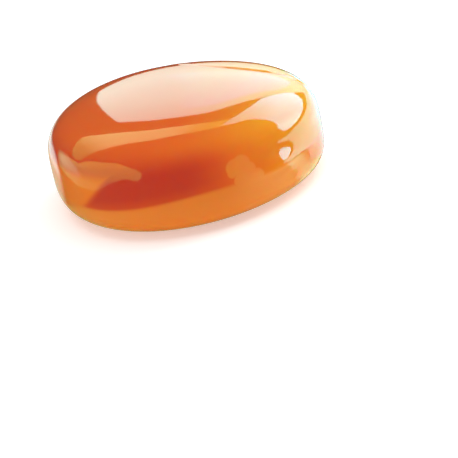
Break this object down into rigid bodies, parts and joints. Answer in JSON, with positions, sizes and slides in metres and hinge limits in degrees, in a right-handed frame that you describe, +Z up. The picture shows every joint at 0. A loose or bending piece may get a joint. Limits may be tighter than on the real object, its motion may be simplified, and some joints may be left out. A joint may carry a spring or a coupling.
{
  "type": "salted caramel candy",
  "caption": "Round piece of glossy soft caramel with a faintly domed top, soft shoulders and a flat underside.",
  "frame": {"origin": "under the middle of the candy, on the surface it lies on", "axes": "+Z up through the thickness of the candy, -Y towards the side the picture shows, +X to the right in the picture"},
  "size_m": [0.0278, 0.0284, 0.0106],
  "materials": {
    "caramel": null
  },
  "bodies": {
    "root": {"caramel_candy": "caramel"}
  },
  "joints": []
}
